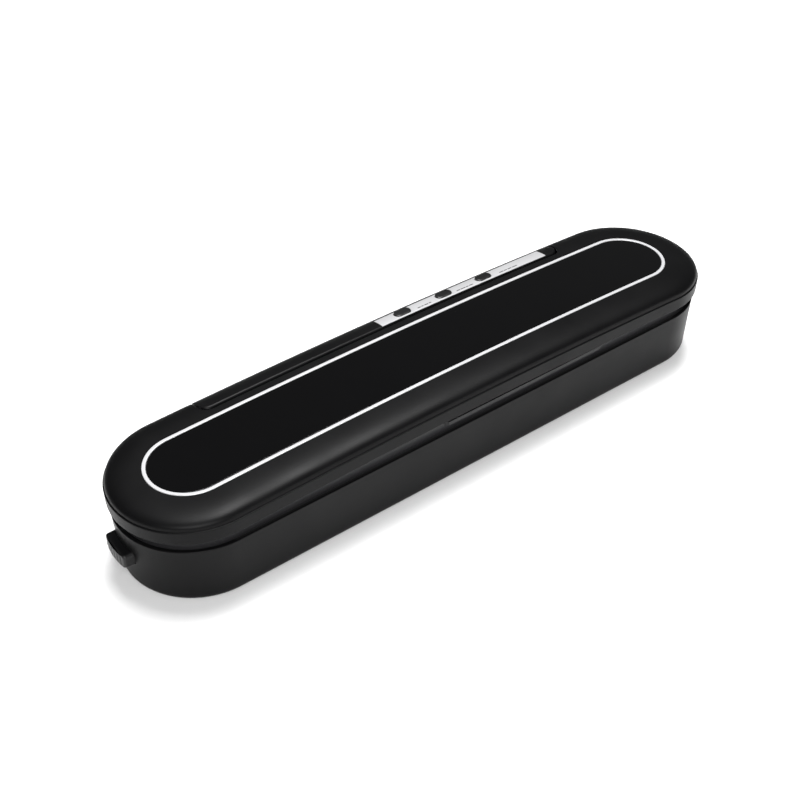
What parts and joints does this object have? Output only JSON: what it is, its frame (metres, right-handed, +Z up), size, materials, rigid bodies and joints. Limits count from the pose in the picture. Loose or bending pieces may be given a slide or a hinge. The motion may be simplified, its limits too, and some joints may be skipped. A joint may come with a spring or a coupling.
{
  "type": "vacuum sealer",
  "caption": "Low, long countertop vacuum bag sealer with rounded ends: a hinged lid with an inlaid glossy panel, side release buttons and a rear strip of push buttons.",
  "frame": {"origin": "centre of the bounding box on the ground plane, under the rubber feet", "axes": "+X along the length with the release button seen in the picture at -X, +Y towards the hinge and the push buttons at the back, +Z up"},
  "size_m": [0.3752, 0.0828, 0.0579],
  "materials": {
    "satin_black_lid": "satin, finely textured",
    "satin_black_base": "satin, finely textured",
    "satin_black_bar": "satin, finely textured",
    "gloss_panel": "high gloss",
    "silver_ring": "satin bright metal",
    "silver_plate": "fine straight grain",
    "button_black": "smooth",
    "release_black": "matt",
    "inner_black": "matt",
    "deck_grey": "matt",
    "foam_grey": "soft closed-cell foam",
    "silicone_red": "silicone rubber",
    "heat_carrier": "heat-resistant moulding",
    "ribbon_metal": "rolled resistance ribbon",
    "tape_brown": "coated glass cloth",
    "brass": "machined",
    "screw_steel": "zinc plated",
    "pin_steel": "ground",
    "spring_steel": "drawn wire",
    "foot_rubber": "matt",
    "board_green": "coated laminate",
    "switch_black": "matt",
    "motor_steel": "drawn can",
    "pump_grey": "matt",
    "pump_white": "matt",
    "diaphragm_rubber": "smooth",
    "mount_rubber": "matt",
    "hose_clear": "milky silicone",
    "valve_body": "matt",
    "transformer_steel": "laminated",
    "inlet_black": "matt"
  },
  "bodies": {
    "base": {"base_housing": "satin_black_base", "base_deck": "deck_grey", "lower_gasket": "foam_grey", "heater_carrier": "heat_carrier", "heating_ribbon": "ribbon_metal", "seal_tape": "tape_brown", "heater_terminals": "brass", "rubber_feet": "foot_rubber", "housing_screws": "screw_steel", "control_bar": "satin_black_bar", "control_plate": "silver_plate", "control_board": "board_green", "tact_switches": "switch_black", "hinge_pins": "pin_steel", "pump_crankcase": "pump_grey", "pump_diaphragm": "diaphragm_rubber", "pump_head": "pump_grey", "pump_motor": "motor_steel", "motor_mounts": "mount_rubber", "pump_hose": "hose_clear", "suction_nozzle": "pump_white", "release_valve": "valve_body", "main_board": "board_green", "board_screws": "screw_steel", "transformer": "transformer_steel", "lid_switch": "switch_black", "power_inlet": "inlet_black", "release_spring_left": "spring_steel", "release_spring_right": "spring_steel"},
    "lid": {"lid_shell": "satin_black_lid", "lid_liner": "inner_black", "top_panel": "gloss_panel", "trim_ring": "silver_ring", "upper_gasket": "foam_grey", "press_strip": "silicone_red", "latch_hooks": "inner_black", "liner_screws": "screw_steel"},
    "control_button_left": {"control_button_left": "button_black"},
    "control_button_centre": {"control_button_centre": "button_black"},
    "control_button_right": {"control_button_right": "button_black"},
    "release_left": {"release_button_left": "release_black", "release_slider_left": "inner_black"},
    "release_right": {"release_button_right": "release_black", "release_slider_right": "inner_black"},
    "pump_crank": {"pump_eccentric": "brass"},
    "pump_rod": {"pump_rod": "pump_white"}
  },
  "joints": [
    {"name": "lid_hinge", "type": "hinge", "parent": "base", "child": "lid", "pos_m": [0, 0.0345, 0.0497], "axis": [-1, 0, 0], "range_deg": [0, 75]},
    {"name": "control_button_left_press", "type": "slide", "parent": "base", "child": "control_button_left", "axis": [0, 0, -1], "range_m": [0, 0.0008], "stiffness_N_per_m": 1500, "springref_m": -0.0003},
    {"name": "control_button_centre_press", "type": "slide", "parent": "base", "child": "control_button_centre", "axis": [0, 0, -1], "range_m": [0, 0.0008], "stiffness_N_per_m": 1500, "springref_m": -0.0003},
    {"name": "control_button_right_press", "type": "slide", "parent": "base", "child": "control_button_right", "axis": [0, 0, -1], "range_m": [0, 0.0008], "stiffness_N_per_m": 1500, "springref_m": -0.0003},
    {"name": "release_left_press", "type": "slide", "parent": "base", "child": "release_left", "axis": [1, 0, 0], "range_m": [0, 0.0025], "stiffness_N_per_m": 700, "springref_m": -0.001, "deforming": ["release_spring_left"]},
    {"name": "release_right_press", "type": "slide", "parent": "base", "child": "release_right", "axis": [-1, 0, 0], "range_m": [0, 0.0025], "stiffness_N_per_m": 700, "springref_m": -0.001, "deforming": ["release_spring_right"]},
    {"name": "pump_spin", "type": "hinge", "parent": "base", "child": "pump_crank", "pos_m": [0, 0.006, 0.0157], "axis": [1, 0, 0], "continuous": true},
    {"name": "pump_rod_turn", "type": "hinge", "parent": "pump_crank", "child": "pump_rod", "pos_m": [0, 0.0075, 0.0157], "axis": [1, 0, 0], "continuous": true}
  ],
  "couplings": [
    {"joint": "pump_rod_turn", "follows": "pump_spin", "ratio": -1}
  ]
}
